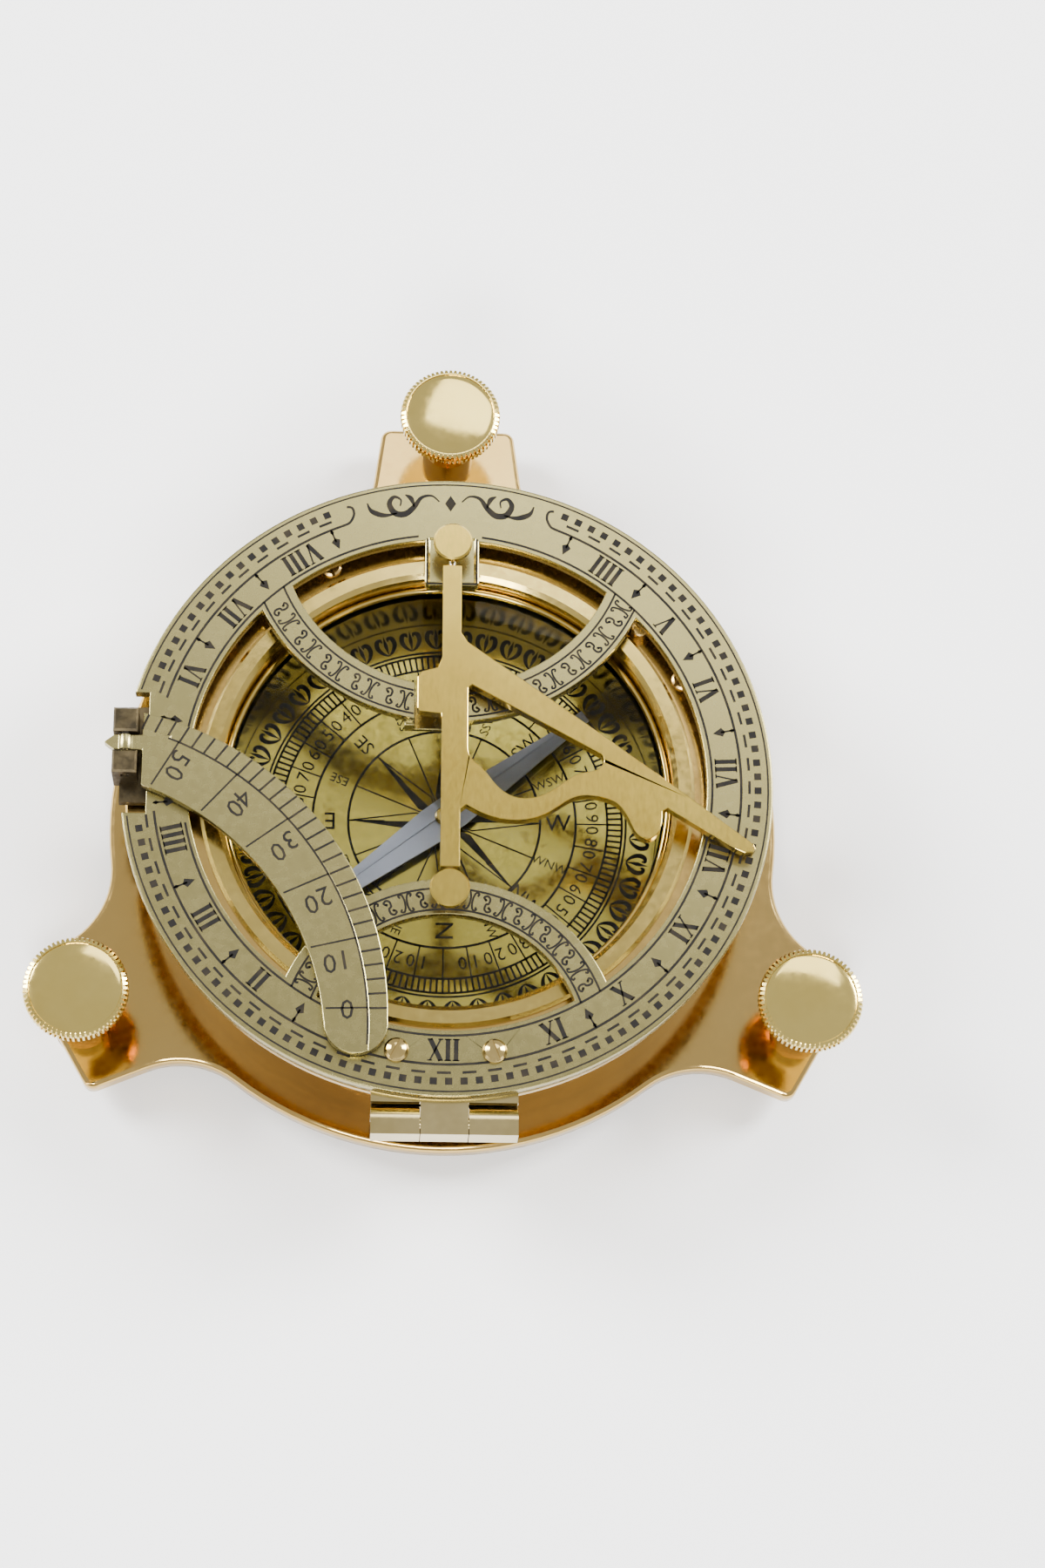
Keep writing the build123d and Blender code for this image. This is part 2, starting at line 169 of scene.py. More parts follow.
def two_tone(tree, value, first, second, ends=(0.0, 1.0)):
    """Colour between two tones, chosen by a value; gives the socket of the colour."""
    ramp = tree.nodes.new("ShaderNodeValToRGB")
    for k, tone in enumerate((first, second)):
        ramp.color_ramp.elements[k].position = ends[k]
        ramp.color_ramp.elements[k].color = (*tone, 1)
    tree.links.new(value, ramp.inputs["Fac"])
    return ramp.outputs["Color"]


def metal(name, light, dark, rough_low, rough_high, patch=60.0, brush=(900.0, 900.0, 900.0),
          bump=0.0, stain=None, stain_from=0.62):
    """Metal finish: two tones in soft patches, roughness that varies, brush lines, stains."""
    material, tree, shader = plain_shader(name)
    place = tree.nodes.new("ShaderNodeTexCoord").outputs["Object"]
    patches = noise(tree, place, patch, 4.0)
    patches.inputs["Roughness"].default_value = 0.6
    colour = two_tone(tree, patches.outputs["Fac"], dark, light, (0.34, 0.66))
    if stain:
        spots = noise(tree, place, patch * 3.1, 6.0)
        edge = spread(tree, spots.outputs["Fac"], (stain_from, stain_from + 0.12))
        over = tree.nodes.new("ShaderNodeMix")
        over.data_type = "RGBA"
        # a colour mix takes its factor in socket 0 and its colours in 6 and 7
        over.inputs[7].default_value = (*stain, 1)
        tree.links.new(edge, over.inputs[0])
        tree.links.new(colour, over.inputs[6])
        colour = over.outputs[2]
    tree.links.new(colour, shader.inputs["Base Color"])
    shader.inputs["Metallic"].default_value = 1.0
    stretch = tree.nodes.new("ShaderNodeMapping")
    stretch.inputs["Scale"].default_value = brush
    tree.links.new(place, stretch.inputs["Vector"])
    grain = noise(tree, stretch.outputs["Vector"], 1.0, 5.0).outputs["Fac"]
    tree.links.new(spread(tree, grain, (0.3, 0.7), (rough_low, rough_high)),
                   shader.inputs["Roughness"])
    if bump:
        relief = tree.nodes.new("ShaderNodeBump")
        relief.inputs["Strength"].default_value = bump
        relief.inputs["Distance"].default_value = 0.02 * MM
        tree.links.new(grain, relief.inputs["Height"])
        tree.links.new(relief.outputs["Normal"], shader.inputs["Normal"])
    return material


def finish_node(name, material):
    """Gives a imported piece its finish."""
    mesh = nodes[name].data
    mesh.materials.clear()
    mesh.materials.append(material)


def soften(name, width):
    """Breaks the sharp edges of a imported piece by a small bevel, its width in mm.

    It runs without the clamp, which would shrink it to nothing on the short facets of curves.
    """
    item = nodes[name]
    weld = item.modifiers.new("weld", "WELD")
    weld.merge_threshold = 0.002 * MM
    bevel = item.modifiers.new("bevel", "BEVEL")
    bevel.width = width * MM
    bevel.segments = 2
    bevel.limit_method = "ANGLE"
    bevel.angle_limit = math.radians(40)
    bevel.use_clamp_overlap = False


base_brass = metal("base_brass", (0.55, 0.38, 0.13), (0.49, 0.32, 0.095), 0.08, 0.15,
                   patch=18.0, bump=0.03)
bush_brass = metal("bush_brass", (0.55, 0.34, 0.10), (0.42, 0.24, 0.06), 0.08, 0.16)
finish_node("base_plate", base_brass)
finish_node("lug_collars", bush_brass)
soften("base_plate", 0.25)

# ---- Bowl wall, cover plate, pillars and screws -------------------------------
# Turned tube polished bright, closed by a flat ring of sheet brass; four pillars
# with steel screws below and brass ones above tie the ring to the base plate.

wall_brass = metal("wall_brass", (0.66, 0.38, 0.065), (0.34, 0.16, 0.025), 0.05, 0.11,
                   patch=42.0)
cover_brass = metal("cover_brass", (0.62, 0.43, 0.14), (0.54, 0.35, 0.10), 0.12, 0.2,
                    patch=40.0, bump=0.05)
plain_brass = metal("plain_brass", (0.55, 0.38, 0.14), (0.45, 0.29, 0.10), 0.2, 0.34)
bright_steel = metal("bright_steel", (0.62, 0.60, 0.57), (0.5, 0.48, 0.45), 0.15, 0.28)
finish_node("drum", wall_brass)
finish_node("cover_plate", cover_brass)
finish_node("pillars", plain_brass)
finish_node("rest_pins", plain_brass)
finish_node("base_screws", bright_steel)
finish_node("cover_screws", plain_brass)

# ---- Compass box and its dial card --------------------------------------------
# Deep turned box let into the cover plate, with painted shade darkening it inside towards
# its floor, and a card of polished sheet brass on its floor; the card's lines are cut and filled
# black.


def darken_inside(material, low, high, share):
    """Painted shade that darkens the box towards its floor; share is what is left of the colour
    there.
    """
    tree = material.node_tree
    shader = tree.nodes["Principled BSDF"]
    place = tree.nodes.new("ShaderNodeTexCoord")
    split = tree.nodes.new("ShaderNodeSeparateXYZ")
    tree.links.new(place.outputs["Object"], split.inputs["Vector"])
    kept = spread(tree, split.outputs["Z"], (low * MM, high * MM), (share, 1.0))
    mix = tree.nodes.new("ShaderNodeVectorMath")
    mix.operation = "SCALE"
    tree.links.new(shader.inputs["Base Color"].links[0].from_socket, mix.inputs[0])
    tree.links.new(kept, mix.inputs["Scale"])
    tree.links.new(mix.outputs[0], shader.inputs["Base Color"])


box_brass = metal("box_brass", (0.62, 0.47, 0.15), (0.50, 0.35, 0.10), 0.06, 0.14)
box_brass_painted_shade = metal("box_brass_painted_shade", (0.62, 0.47, 0.14), (0.52, 0.38, 0.10), 0.10, 0.22)
# painted shade: the box's colour falls to three tenths of itself from 23.5 mm down to 16 mm
darken_inside(box_brass_painted_shade, low=16.0, high=23.5, share=0.3)
dial_brass = metal("dial_brass", (0.58, 0.48, 0.11), (0.48, 0.38, 0.08), 0.10, 0.2,
                   patch=80.0, bump=0.05, stain=(0.32, 0.23, 0.05))


def black_filling():
    """Hard black wax in the cut lines, a little brown where it has worn thin."""
    material, tree, shader = plain_shader("black_filling")
    place = tree.nodes.new("ShaderNodeTexCoord")
    worn = noise(tree, place.outputs["Object"], 350.0, 3.0)
    tone = two_tone(tree, worn.outputs["Fac"], (0.008, 0.007, 0.006), (0.022, 0.017, 0.010),
                    (0.45, 0.75))
    tree.links.new(tone, shader.inputs["Base Color"])
    shader.inputs["Specular IOR Level"].default_value = 0.15
    shader.inputs["Roughness"].default_value = 0.85
    return material


engraving = black_filling()
# the compass box takes the brass with painted shade inside it
finish_node("compass_box", box_brass_painted_shade)
finish_node("dial_card", dial_brass)

drum_low, drum_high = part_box("drum")
bowl_y = (drum_low.y + drum_high.y) / 2


def point_at(radius, degrees, centre=(0.0, 0.0)):
    """Point of a circle about the bowl's axis, or about another centre, in mm."""
    turn = math.radians(degrees)
    return (centre[0] + radius * math.cos(turn), centre[1] + radius * math.sin(turn))


def smooth(points, steps=6):
    """Catmull-Rom line through points."""
    ends = [points[0]] + list(points) + [points[-1]]
    line = []
    for k in range(1, len(ends) - 2):
        a, b, c, d = (Vector(ends[k - 1 + j]) for j in range(4))
        for j in range(steps):
            t = j / steps
            line.append(0.5 * (2 * b + (c - a) * t + (2 * a - 5 * b + 4 * c - d) * t * t
                               + (3 * b - a - 3 * c + d) * t ** 3))
    line.append(Vector(points[-1]))
    return [tuple(p) for p in line]


def add_piece(name, mesh, body, replaced=()):
    """Puts a finished mesh in the scene on its body."""
    item = bpy.data.objects.new(name, mesh)
    bpy.context.scene.collection.objects.link(item)
    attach(item, body)
    if replaced:
        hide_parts(*replaced)


class Cut:
    """Thin filled lines in one flat face, gathered in one mesh.  Millimetres, bowl axis."""

    depth = 0.03        # how far the filling goes into the metal
    proud = 0.012       # how far it stands above the face
    facet = 2.5         # degrees of a circle to one straight side
    capital = 0.7       # height of a capital, as a share of the font's size

    def __init__(self, top, bold=1.35):
        self.shape = bmesh.new()
        self.bold = bold
        self.low = top - self.depth
        self.high = top + self.proud

    def ribbon(self, left, right, closed=False):
        """Closed strip between two lines of equal length."""
        rows = []
        for a, b in zip(left, right):
            rows.append([self.shape.verts.new((x, y, z)) for (x, y), z in
                         ((a, self.high), (b, self.high), (b, self.low), (a, self.low))])
        pairs = list(zip(rows, rows[1:] + rows[:1])) if closed else list(zip(rows, rows[1:]))
        for p, q in pairs:
            for k in range(4):
                j = (k + 1) % 4
                self.shape.faces.new((p[j], p[k], q[k], q[j]))
        if not closed:
            self.shape.faces.new(rows[0])
            self.shape.faces.new(rows[-1][::-1])

    def stroke(self, points, widths):
        """Line of the given width, or of one width for each point."""
        if not isinstance(widths, (list, tuple)):
            widths = [widths] * len(points)
        left, right = [], []
        for k, (x, y) in enumerate(points):
            before = points[max(k - 1, 0)]
            after = points[min(k + 1, len(points) - 1)]
            dx, dy = after[0] - before[0], after[1] - before[1]
            size = math.hypot(dx, dy) or 1.0
            half = widths[k] * self.bold / 2
            nx, ny = -dy / size * half, dx / size * half
            left.append((x + nx, y + ny))
            right.append((x - nx, y - ny))
        self.ribbon(left, right)

    def circle(self, radius, width, first=0.0, last=360.0, centre=(0.0, 0.0)):
        """Arc from one angle to another, or a whole circle."""
        steps = max(int(abs(last - first) / self.facet), 2)
        whole = abs(last - first) >= 359.999
        count = steps if whole else steps + 1
        turns = [first + (last - first) * k / steps for k in range(count)]
        half = width * self.bold / 2
        self.ribbon([point_at(radius - half, t, centre) for t in turns],
                    [point_at(radius + half, t, centre) for t in turns], closed=whole)

    def patch(self, outline):
        """Filled flat shape from its corners."""
        upper = [self.shape.verts.new((x, y, self.high)) for x, y in outline]
        lower = [self.shape.verts.new((x, y, self.low)) for x, y in outline]
        self.shape.faces.new(upper)
        self.shape.faces.new(lower[::-1])
        for k in range(len(outline)):
            j = (k + 1) % len(outline)
            self.shape.faces.new((upper[j], upper[k], lower[k], lower[j]))

    def word(self, text, height, spot, degrees):
        """Plain letters or figures, upright along the given direction."""
        letters = bpy.data.curves.new("letters", "FONT")
        letters.body = text
        letters.align_x = "CENTER"
        letters.align_y = "CENTER"
        letters.size = height / self.capital
        letters.resolution_u = 2
        letters.extrude = (self.high - self.low) / 2
        holder = bpy.data.objects.new("letters", letters)
        bpy.context.scene.collection.objects.link(holder)
        bpy.context.view_layer.update()
        looked_at = holder.evaluated_get(bpy.context.evaluated_depsgraph_get())
        mesh = bpy.data.meshes.new_from_object(looked_at)
        middle = (self.high + self.low) / 2
        mesh.transform(Matrix.Translation((spot[0], spot[1], middle))
                       @ Matrix.Rotation(math.radians(degrees), 4, "Z"))
        glyphs = bmesh.new()
        glyphs.from_mesh(mesh)
        bmesh.ops.remove_doubles(glyphs, verts=glyphs.verts, dist=0.0005)
        glyphs.to_mesh(mesh)
        glyphs.free()
        self.shape.from_mesh(mesh)
        bpy.data.objects.remove(holder)
        bpy.data.curves.remove(letters)
        bpy.data.meshes.remove(mesh)

    def mesh(self, name):
        """The gathered lines as a mesh, still in mm; nothing can be added after it."""
        bmesh.ops.recalc_face_normals(self.shape, faces=self.shape.faces)
        made = bpy.data.meshes.new(name)
        self.shape.to_mesh(made)
        self.shape.free()
        return made

    def piece(self, name, material, body):
        """The gathered lines as one piece on a body."""
        made = self.mesh(name)
        made.transform(Matrix.Translation((0, bowl_y, 0)) @ Matrix.Scale(MM, 4))
        made.materials.append(material)
        add_piece(name, made, body)


def repeat_tree():
    """Geometry Nodes: one motif set round a circle at even steps."""
    tree = bpy.data.node_groups.new("set_round_a_circle", "GeometryNodeTree")
    face = tree.interface
    sockets = (("Motif", "NodeSocketObject"), ("Count", "NodeSocketInt"),
               ("First Angle", "NodeSocketFloat"), ("Step Angle", "NodeSocketFloat"),
               ("Radius", "NodeSocketFloat"), ("Centre", "NodeSocketVector"),
               ("Finish", "NodeSocketMaterial"))
    face.new_socket("Geometry", in_out="INPUT", socket_type="NodeSocketGeometry")
    for name, kind in sockets:
        face.new_socket(name, in_out="INPUT", socket_type=kind)
    face.new_socket("Geometry", in_out="OUTPUT", socket_type="NodeSocketGeometry")
    new, link = tree.nodes.new, tree.links.new
    given, made = new("NodeGroupInput"), new("NodeGroupOutput")
    line = new("GeometryNodeMeshLine")
    link(given.outputs["Count"], line.inputs["Count"])
    index = new("GeometryNodeInputIndex")
    angle = new("ShaderNodeMath")
    angle.operation = "MULTIPLY_ADD"
    link(index.outputs[0], angle.inputs[0])
    link(given.outputs["Step Angle"], angle.inputs[1])
    link(given.outputs["First Angle"], angle.inputs[2])
    sine, cosine = new("ShaderNodeMath"), new("ShaderNodeMath")
    sine.operation, cosine.operation = "SINE", "COSINE"
    link(angle.outputs[0], sine.inputs[0])
    link(angle.outputs[0], cosine.inputs[0])
    arm = new("ShaderNodeCombineXYZ")
    link(cosine.outputs[0], arm.inputs["X"])
    link(sine.outputs[0], arm.inputs["Y"])
    reach = new("ShaderNodeVectorMath")
    reach.operation = "SCALE"
    link(arm.outputs[0], reach.inputs[0])
    link(given.outputs["Radius"], reach.inputs["Scale"])
    moved = new("ShaderNodeVectorMath")
    moved.operation = "ADD"
    link(reach.outputs[0], moved.inputs[0])
    link(given.outputs["Centre"], moved.inputs[1])
    spots = new("GeometryNodeSetPosition")
    link(line.outputs["Mesh"], spots.inputs["Geometry"])
    link(moved.outputs[0], spots.inputs["Position"])
    turn = new("ShaderNodeCombineXYZ")
    link(angle.outputs[0], turn.inputs["Z"])
    facing = new("FunctionNodeEulerToRotation")
    link(turn.outputs[0], facing.inputs[0])
    motif = new("GeometryNodeObjectInfo")
    link(given.outputs["Motif"], motif.inputs["Object"])
    copies = new("GeometryNodeInstanceOnPoints")
    link(spots.outputs["Geometry"], copies.inputs["Points"])
    link(motif.outputs["Geometry"], copies.inputs["Instance"])
    link(facing.outputs[0], copies.inputs["Rotation"])
    solid = new("GeometryNodeRealizeInstances")
    link(copies.outputs["Instances"], solid.inputs["Geometry"])
    coat = new("GeometryNodeSetMaterial")
    link(solid.outputs["Geometry"], coat.inputs["Geometry"])
    link(given.outputs["Finish"], coat.inputs["Material"])
    link(coat.outputs["Geometry"], made.inputs["Geometry"])
    return tree, {s.name: s.identifier for s in face.items_tree
                  if s.item_type == "SOCKET" and s.in_out == "INPUT"}


round_tree, round_inputs = repeat_tree()


def set_round(name, motif, count, first, step, radius, centre, material):
    """Mesh of a motif repeated round a circle.  Motif in metres, angles in degrees, rest in mm."""
    pattern = bpy.data.objects.new(name + "_motif", motif)
    holder = bpy.data.objects.new(name + "_holder", bpy.data.meshes.new(name + "_holder"))
    scene = bpy.context.scene.collection.objects
    scene.link(pattern)
    scene.link(holder)
    nodes_modifier = holder.modifiers.new("round", "NODES")
    nodes_modifier.node_group = round_tree
    values = {"Motif": pattern, "Count": count, "First Angle": math.radians(first),
              "Step Angle": math.radians(step), "Radius": radius * MM,
              "Centre": (centre[0] * MM, centre[1] * MM + bowl_y, 0.0), "Finish": material}
    for key, value in values.items():
        nodes_modifier[round_inputs[key]] = value
    bpy.context.view_layer.update()
    looked_at = holder.evaluated_get(bpy.context.evaluated_depsgraph_get())
    made = bpy.data.meshes.new_from_object(looked_at)
    holder.modifiers.clear()
    bpy.data.objects.remove(holder)
    bpy.data.objects.remove(pattern)
    made.name = name
    return made


def cut_motif(top, draw):
    """Small motif for set_round, drawn in mm with X pointing away from the centre."""
    motif = Cut(top)
    draw(motif)
    made = motif.mesh("motif")
    made.transform(Matrix.Scale(MM, 4))
    return made


def cut_round(name, draw, top, count, first, step, radius, body, centre=(0.0, 0.0)):
    """A motif cut into a flat face at even steps round a circle, as one piece on a body."""
    mesh = set_round(name, cut_motif(top, draw), count, first, step, radius, centre, engraving)
    add_piece(name, mesh, body)


dial_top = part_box("dial_card")[1].z / MM
rose_r, name_r, ladder_r, ladder_out_r, edge_line_r = 14.5, 19.9, 24.7, 26.9, 27.5
wind_r, tens_r, bar_r, scroll_r = 17.2, 22.3, 25.8, 29.7

card = Cut(dial_top, bold=1.7)
card.circle(rose_r, 0.22)
card.circle(name_r, 0.22)
card.circle(ladder_r, 0.2)
card.circle(ladder_out_r, 0.2)
card.circle(edge_line_r, 0.18)
for k in range(16):
    # thin lines of the sixteen winds
    turn = -90 + 22.5 * k
    card.stroke([point_at(3.0 if k % 2 else 9.0, turn), point_at(rose_r, turn)], 0.14)
for k in range(8):
    # eight long points, one half of each filled
    turn = -90 + 45 * k
    tip = point_at(rose_r - 0.2, turn)
    root = point_at(1.5, turn)
    side = point_at(4.4, turn + 18)
    other = point_at(4.4, turn - 18)
    card.patch([root, side, tip])
    card.stroke([tip, other, root], 0.13)
winds = ("N", "NNE", "NE", "ENE", "E", "ESE", "SE", "SSE",
         "S", "SSW", "SW", "WSW", "W", "WNW", "NW", "NNW")
for k, wind in enumerate(winds):
    turn = -90 - 22.5 * k
    tall = 2.7 if len(wind) == 1 else 2.1 if len(wind) == 2 else 1.4
    card.word(wind, tall, point_at(wind_r, turn), turn)
for k in range(36):
    # lines at every ten degrees, counted both ways from N and S, a figure each side
    turn = -90 - 10 * k
    card.stroke([point_at(name_r, turn), point_at(ladder_r, turn)], 0.14)
    tens = k % 18
    tens = tens if tens <= 9 else 18 - tens
    if tens:
        card.word(str(tens), 2.0, point_at(tens_r, turn + 2.5), turn - 90)
        card.word("0", 2.0, point_at(tens_r, turn - 2.5), turn - 90)
card.piece("dial_lines", engraving, "base")


def ladder_bar(motif):
    """One bar of the degree ladder."""
    motif.stroke([(-1.1, 0), (1.1, 0)], 0.24)


def leaf_scroll(motif):
    """Pointed leaf between two curled ones, as round the dial."""
    for side in (1, -1):
        curl = smooth([(-1.6, side * 0.05), (-1.0, side * 0.8), (0.0, side * 1.35),
                       (1.0, side * 1.2), (1.2, side * 0.6), (0.7, side * 0.5)], 4)
        count = len(curl) - 1
        motif.stroke(curl, [0.12 + 0.42 * math.sin(math.pi * k / count) for k in range(count + 1)])
    motif.patch([(-1.7, 0.0), (0.2, -0.32), (1.8, 0.0), (0.2, 0.32)])


cut_round("dial_ladder", ladder_bar, dial_top, 180, 0, 2, bar_r, "base")
cut_round("dial_scrolls", leaf_scroll, dial_top, 48, 3, 7.5, scroll_r, "base")

# ---- Needle, its pivot, the glass and its wire --------------------------------
# Steel needle, one half a paler blue grey than the other, on a brass cap over a
# fine point; flat glass lies on a ledge of the box under a split brass wire.


def needle_finish():
    """Steel in two tones that meet at the needle's pivot."""
    needle_turn = math.radians(37.6)
    seam = 0.2 * MM
    material, tree, shader = plain_shader("needle_steel")
    place = tree.nodes.new("ShaderNodeTexCoord")
    aim = tree.nodes.new("ShaderNodeMapping")
    aim.vector_type = "TEXTURE"
    aim.inputs["Location"].default_value = (0, bowl_y, 0)
    aim.inputs["Rotation"].default_value = (0, 0, needle_turn)
    tree.links.new(place.outputs["Object"], aim.inputs["Vector"])
    split = tree.nodes.new("ShaderNodeSeparateXYZ")
    tree.links.new(aim.outputs["Vector"], split.inputs["Vector"])
    half = spread(tree, split.outputs["X"], (-seam, seam))
    tone = two_tone(tree, half, (0.27, 0.28, 0.33), (0.15, 0.15, 0.16))
    tree.links.new(tone, shader.inputs["Base Color"])
    grain = noise(tree, aim.outputs["Vector"], 400.0)
    rough = spread(tree, grain.outputs["Fac"], (0.0, 1.0), (0.25, 0.42))
    tree.links.new(rough, shader.inputs["Roughness"])
    shader.inputs["Metallic"].default_value = 0.9
    return material


def glass_finish():
    """Clear glass, a little smeared, that hardly mirrors the lights."""
    material, tree, shader = plain_shader("clear_glass")
    shader.inputs["Base Color"].default_value = (0.97, 0.99, 0.98, 1)
    shader.inputs["Transmission Weight"].default_value = 1.0
    shader.inputs["IOR"].default_value = 1.14
    place = tree.nodes.new("ShaderNodeTexCoord")
    smear = noise(tree, place.outputs["Object"], 90.0)
    rough = spread(tree, smear.outputs["Fac"], (0.0, 1.0), (0.0, 0.03))
    tree.links.new(rough, shader.inputs["Roughness"])
    return material


finish_node("needle_blade", needle_finish())
finish_node("needle_cap", box_brass)
finish_node("needle_pivot", plain_brass)
finish_node("glass", glass_finish())
finish_node("glass_ring", box_brass)

# ---- Hinge --------------------------------------------------------------------
# Two leaves of flat brass with rolled knuckles on a drawn pin; the upper leaf is
# held to the hour ring by two round-headed screws.

hinge_brass = metal("hinge_brass", (0.56, 0.46, 0.22), (0.46, 0.36, 0.15), 0.10, 0.2)
screw_brass = metal("screw_brass", (0.58, 0.44, 0.17), (0.46, 0.32, 0.10), 0.08, 0.18)
for name in ("hinge_leaf_bowl", "hinge_leaf_ring", "hinge_pin"):
    finish_node(name, hinge_brass)
finish_node("leaf_screws", screw_brass)

# ---- Hour ring ----------------------------------------------------------------
# Flat ring of sheet brass with a satin face, two crescent bridges and a square tab
# for the gnomon's post; hours, scales and scrolls are cut and filled black.

satin_brass = metal("satin_brass", (0.345, 0.30, 0.125), (0.322, 0.278, 0.113), 0.24, 0.29,
                    bump=0.04, stain=(0.30, 0.255, 0.10), stain_from=0.70)
finish_node("hour_ring", satin_brass)
soften("hour_ring", 0.13)
ring_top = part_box("hour_ring")[1].z / MM
upper_centre, lower_centre = (0.0, 40.0), (0.0, -40.4)
stop_gap = (-5.15, 2.15)        # across the upper crescent, for the gnomon's stop

ring = Cut(ring_top, bold=1.55)


def roman(cut, text, radius, degrees, tall=3.2):
    """Roman figures with thick and thin strokes and serifs, their tops to the centre."""
    wide = {"I": 1.05, "V": 2.3, "X": 2.3}
    gap = 0.12
    total = sum(wide[c] for c in text) + gap * (len(text) - 1)
    turn = math.radians(degrees)
    across = Vector((-math.sin(turn), math.cos(turn)))
    upward = Vector((-math.cos(turn), -math.sin(turn)))
    middle = Vector(point_at(radius, degrees))

    def spot(u, v):
        return tuple(middle + across * u + upward * v)

    h = tall / 2
    stem, thick, thin, serif = 0.42, 0.44, 0.16, 0.13
    u = -total / 2
    for letter in text:
        w = wide[letter]
        c = u + w / 2
        if letter == "I":
            cut.stroke([spot(c, -h), spot(c, h)], stem)
            for v in (-h + serif / 2, h - serif / 2):
                cut.stroke([spot(c - 0.5, v), spot(c + 0.5, v)], serif)
        else:
            low = 0.0 if letter == "V" else 0.78
            cut.stroke([spot(c - 0.75, h), spot(c + low, -h)], thick)
            cut.stroke([spot(c + 0.78, h), spot(c - low, -h)], thin)
            for s in (-0.77, 0.77):
                cut.stroke([spot(c + s - 0.36, h - serif / 2), spot(c + s + 0.36, h - serif / 2)],
                           serif)
                if letter == "X":
                    cut.stroke([spot(c + s - 0.36, -h + serif / 2),
                                spot(c + s + 0.36, -h + serif / 2)], serif)
        u += w + gap


opening_r, figure_r, hour_line_r, rim_line_r = 38.75, 40.85, 43.0, 46.95
curl_east, curl_west = 68.5, 111.5
hours = [("XII", -90.4), ("XI", -67.9), ("X", -51.8), ("IX", -33.2), ("VIII", -15.8),
         ("VII", 2.4), ("VI", 21.2), ("V", 38.0), ("IIII", 55.2), ("I", 248.8), ("II", 229.0),
         ("III", 212.1), ("IIII", 194.0), ("V", 175.6), ("VI", 157.6), ("VII", 141.0),
         ("VIII", 122.6)]
for text, turn in hours:
    roman(ring, text, figure_r, turn)
# the rim and hour lines stop each side of the notch for the arc's bracket
ring.circle(rim_line_r, 0.16, 188.0, 360 + 163.8)
ring.circle(hour_line_r, 0.24, 187.6, 360 + curl_east)
ring.circle(hour_line_r, 0.24, curl_west, 164.0)
for side in (1, -1):
    # the hour line ends in a curl each side of the tab
    start = curl_east if side > 0 else curl_west
    curl = [point_at(hour_line_r, start), point_at(43.2, start + side * 1.2),
            point_at(44.2, start + side * 2.4), point_at(45.3, start + side * 2.5),
            point_at(45.7, start + side * 1.6)]
    ring.stroke(smooth(curl, 5), 0.24)
for first, last in ((97.0, 169.0), (191.0, 360 + 83.0)):
    ring.circle(opening_r, 0.22, first, last)


def crescent_lines(cut, centre, radii):
    """Border lines of a crescent, from the opening line on one side to the other."""
    for radius in radii:
        d = abs(centre[1])
        cosine = (radius ** 2 + d ** 2 - opening_r ** 2) / (2 * radius * d)
        half = math.degrees(math.acos(cosine))
        if centre[1] > 0:
            # the upper crescent is parted where the gnomon's stop drops through
            gap_low = math.degrees(math.asin(stop_gap[0] / radius))
            gap_high = math.degrees(math.asin(stop_gap[1] / radius))
            cut.circle(radius, 0.2, -90 - half, -90 + gap_low, centre)
            cut.circle(radius, 0.2, -90 + gap_high, -90 + half, centre)
        else:
            cut.circle(radius, 0.2, 90 - half, 90 + half, centre)


crescent_lines(ring, upper_centre, (26.7, 30.3))
crescent_lines(ring, lower_centre, (20.5, 23.7))
tab_x, tab_half, tab_front, tab_back = 0.3, 3.7, 30.9, 38.2
corners = [(tab_x - tab_half, tab_back), (tab_x - tab_half, tab_front),
           (tab_x + tab_half, tab_front), (tab_x + tab_half, tab_back)]
for start, end in zip(corners, corners[1:]):
    ring.stroke([start, end], 0.2)
for side in (1, -1):
    # a plain flourish between the curls, both halves alike
    vine = [(44.2, 2.2), (45.2, 3.6), (45.0, 5.6), (43.6, 7.2), (42.6, 9.2), (43.0, 11.2),
            (44.6, 11.9), (45.6, 10.8), (45.0, 9.6), (44.0, 9.9)]
    branch = [(43.6, 7.2), (45.0, 7.6), (45.7, 8.6)]
    tail = [(42.9, 10.8), (42.9, 13.4), (44.0, 15.6), (45.4, 16.0)]
    for line, wide in ((vine, 0.5), (branch, 0.34), (tail, 0.4)):
        path = smooth([point_at(r, 90 + side * t) for r, t in line], 5)
        count = len(path) - 1
        widths = [0.14 + wide * math.sin(math.pi * k / count) ** 2 for k in range(count + 1)]
        ring.stroke(path, widths)
ring.patch([point_at(45.2, 90), point_at(43.9, 91.1),
            point_at(42.6, 90), point_at(43.9, 88.9)])
ring.piece("hour_figures", engraving, "hour_ring_body")


def arrow(motif):
    """Half-hour arrow from the hour line inwards, drawn at its own radius."""
    motif.stroke([(43.0, 0), (40.9, 0)], 0.2)
    motif.patch([(43.1, 0.0), (42.6, 0.32), (42.1, 0.0), (42.6, -0.32)])
    motif.patch([(41.6, 0.0), (41.1, 0.7), (39.7, 0.0), (41.1, -0.7)])


def minute_square(motif):
    half = 0.52
    motif.patch([(-half, -half), (half, -half), (half, half), (-half, half)])


def quarter_dash(motif):
    motif.stroke([(0, -1.0), (0, 1.0)], 0.28)


square_r, dash_r = 45.45, 44.2
arrow_step, square_step, dash_step = 17.85, 2.757, 4.72
for name, draw, count, first, step, radius in (
        ("half_hour_arrows_east", arrow, 8, -60.0, arrow_step, 0.0),
        ("half_hour_arrows_west", arrow, 8, 239.5, -arrow_step, 0.0),
        ("minute_squares_east", minute_square, 87, 190.66, square_step, square_r),
        ("minute_squares_west", minute_square, 18, 114.0, square_step, square_r),
        ("quarter_dashes_east", quarter_dash, 51, 189.5, dash_step, dash_r),
        ("quarter_dashes_west", quarter_dash, 11, 115.0, dash_step, dash_r)):
    cut_round(name, draw, ring_top, count, first, step, radius, "hour_ring_body")


